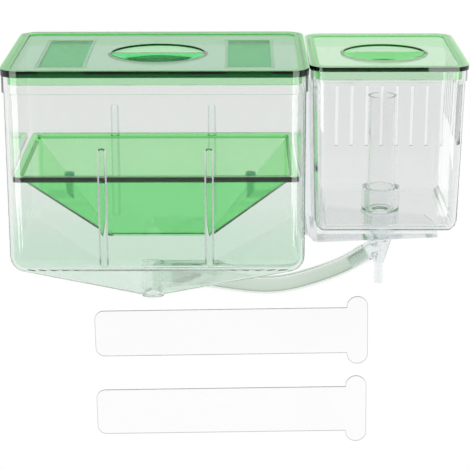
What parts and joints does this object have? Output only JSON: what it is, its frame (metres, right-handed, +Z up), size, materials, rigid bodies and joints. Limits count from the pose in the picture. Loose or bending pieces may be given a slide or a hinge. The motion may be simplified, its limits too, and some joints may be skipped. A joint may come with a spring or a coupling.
{
  "type": "fish breeding box",
  "caption": "Hanging fish breeding box with green lids, a slotted hopper tray, a funnel floor, a side chamber and an air-lift hose",
  "frame": {"origin": "centre of the outer face of the main tank's rear wall, which hangs against the aquarium's glass", "axes": "+Y points to the rear, out of that face; +X runs along the box towards the small tank; +Z is up"},
  "size_m": [0.2479, 0.1128, 0.2091],
  "materials": {
    "clear_plastic": "polished, water clear",
    "lid_plastic": "polished, see-through green",
    "tray_plastic": "polished, see-through green",
    "peg_plastic": "polished, see-through green",
    "hose_silicone": "satin, milky and see-through",
    "strap_plastic": "satin, clear and bendable"
  },
  "bodies": {
    "tank": {"main_tank": "clear_plastic", "outlet_elbow": "clear_plastic", "side_bracket": "clear_plastic", "small_tank": "clear_plastic", "air_fitting": "clear_plastic", "hose": "hose_silicone"},
    "main_cover": {"main_lid": "lid_plastic", "left_vent_grille": "lid_plastic", "right_vent_grille": "lid_plastic"},
    "small_cover": {"small_lid": "lid_plastic"},
    "tray": {"hopper_tray": "tray_plastic", "left_tray_peg": "peg_plastic", "right_tray_peg": "peg_plastic"},
    "riser": {"riser_tube": "clear_plastic"},
    "strap_high": {"upper_strap": "strap_plastic"},
    "strap_low": {"lower_strap": "strap_plastic"}
  },
  "joints": [
    {"name": "main_lid_lift", "type": "slide", "parent": "tank", "child": "main_cover", "axis": [0, 0, 1], "range_m": [0, 0.06]},
    {"name": "small_lid_lift", "type": "slide", "parent": "tank", "child": "small_cover", "axis": [0, 0, 1], "range_m": [0, 0.06]},
    {"name": "tray_lift", "type": "slide", "parent": "tank", "child": "tray", "axis": [0, 0, 1], "range_m": [0, 0.045]},
    {"name": "riser_lift", "type": "slide", "parent": "tank", "child": "riser", "axis": [0, 0, 1], "range_m": [0, 0.016]},
    {"name": "upper_strap_pull", "type": "slide", "parent": "tank", "child": "strap_high", "axis": [0, -1, 0], "range_m": [0, 0.12]},
    {"name": "lower_strap_pull", "type": "slide", "parent": "tank", "child": "strap_low", "axis": [0, -1, 0], "range_m": [0, 0.12]}
  ]
}
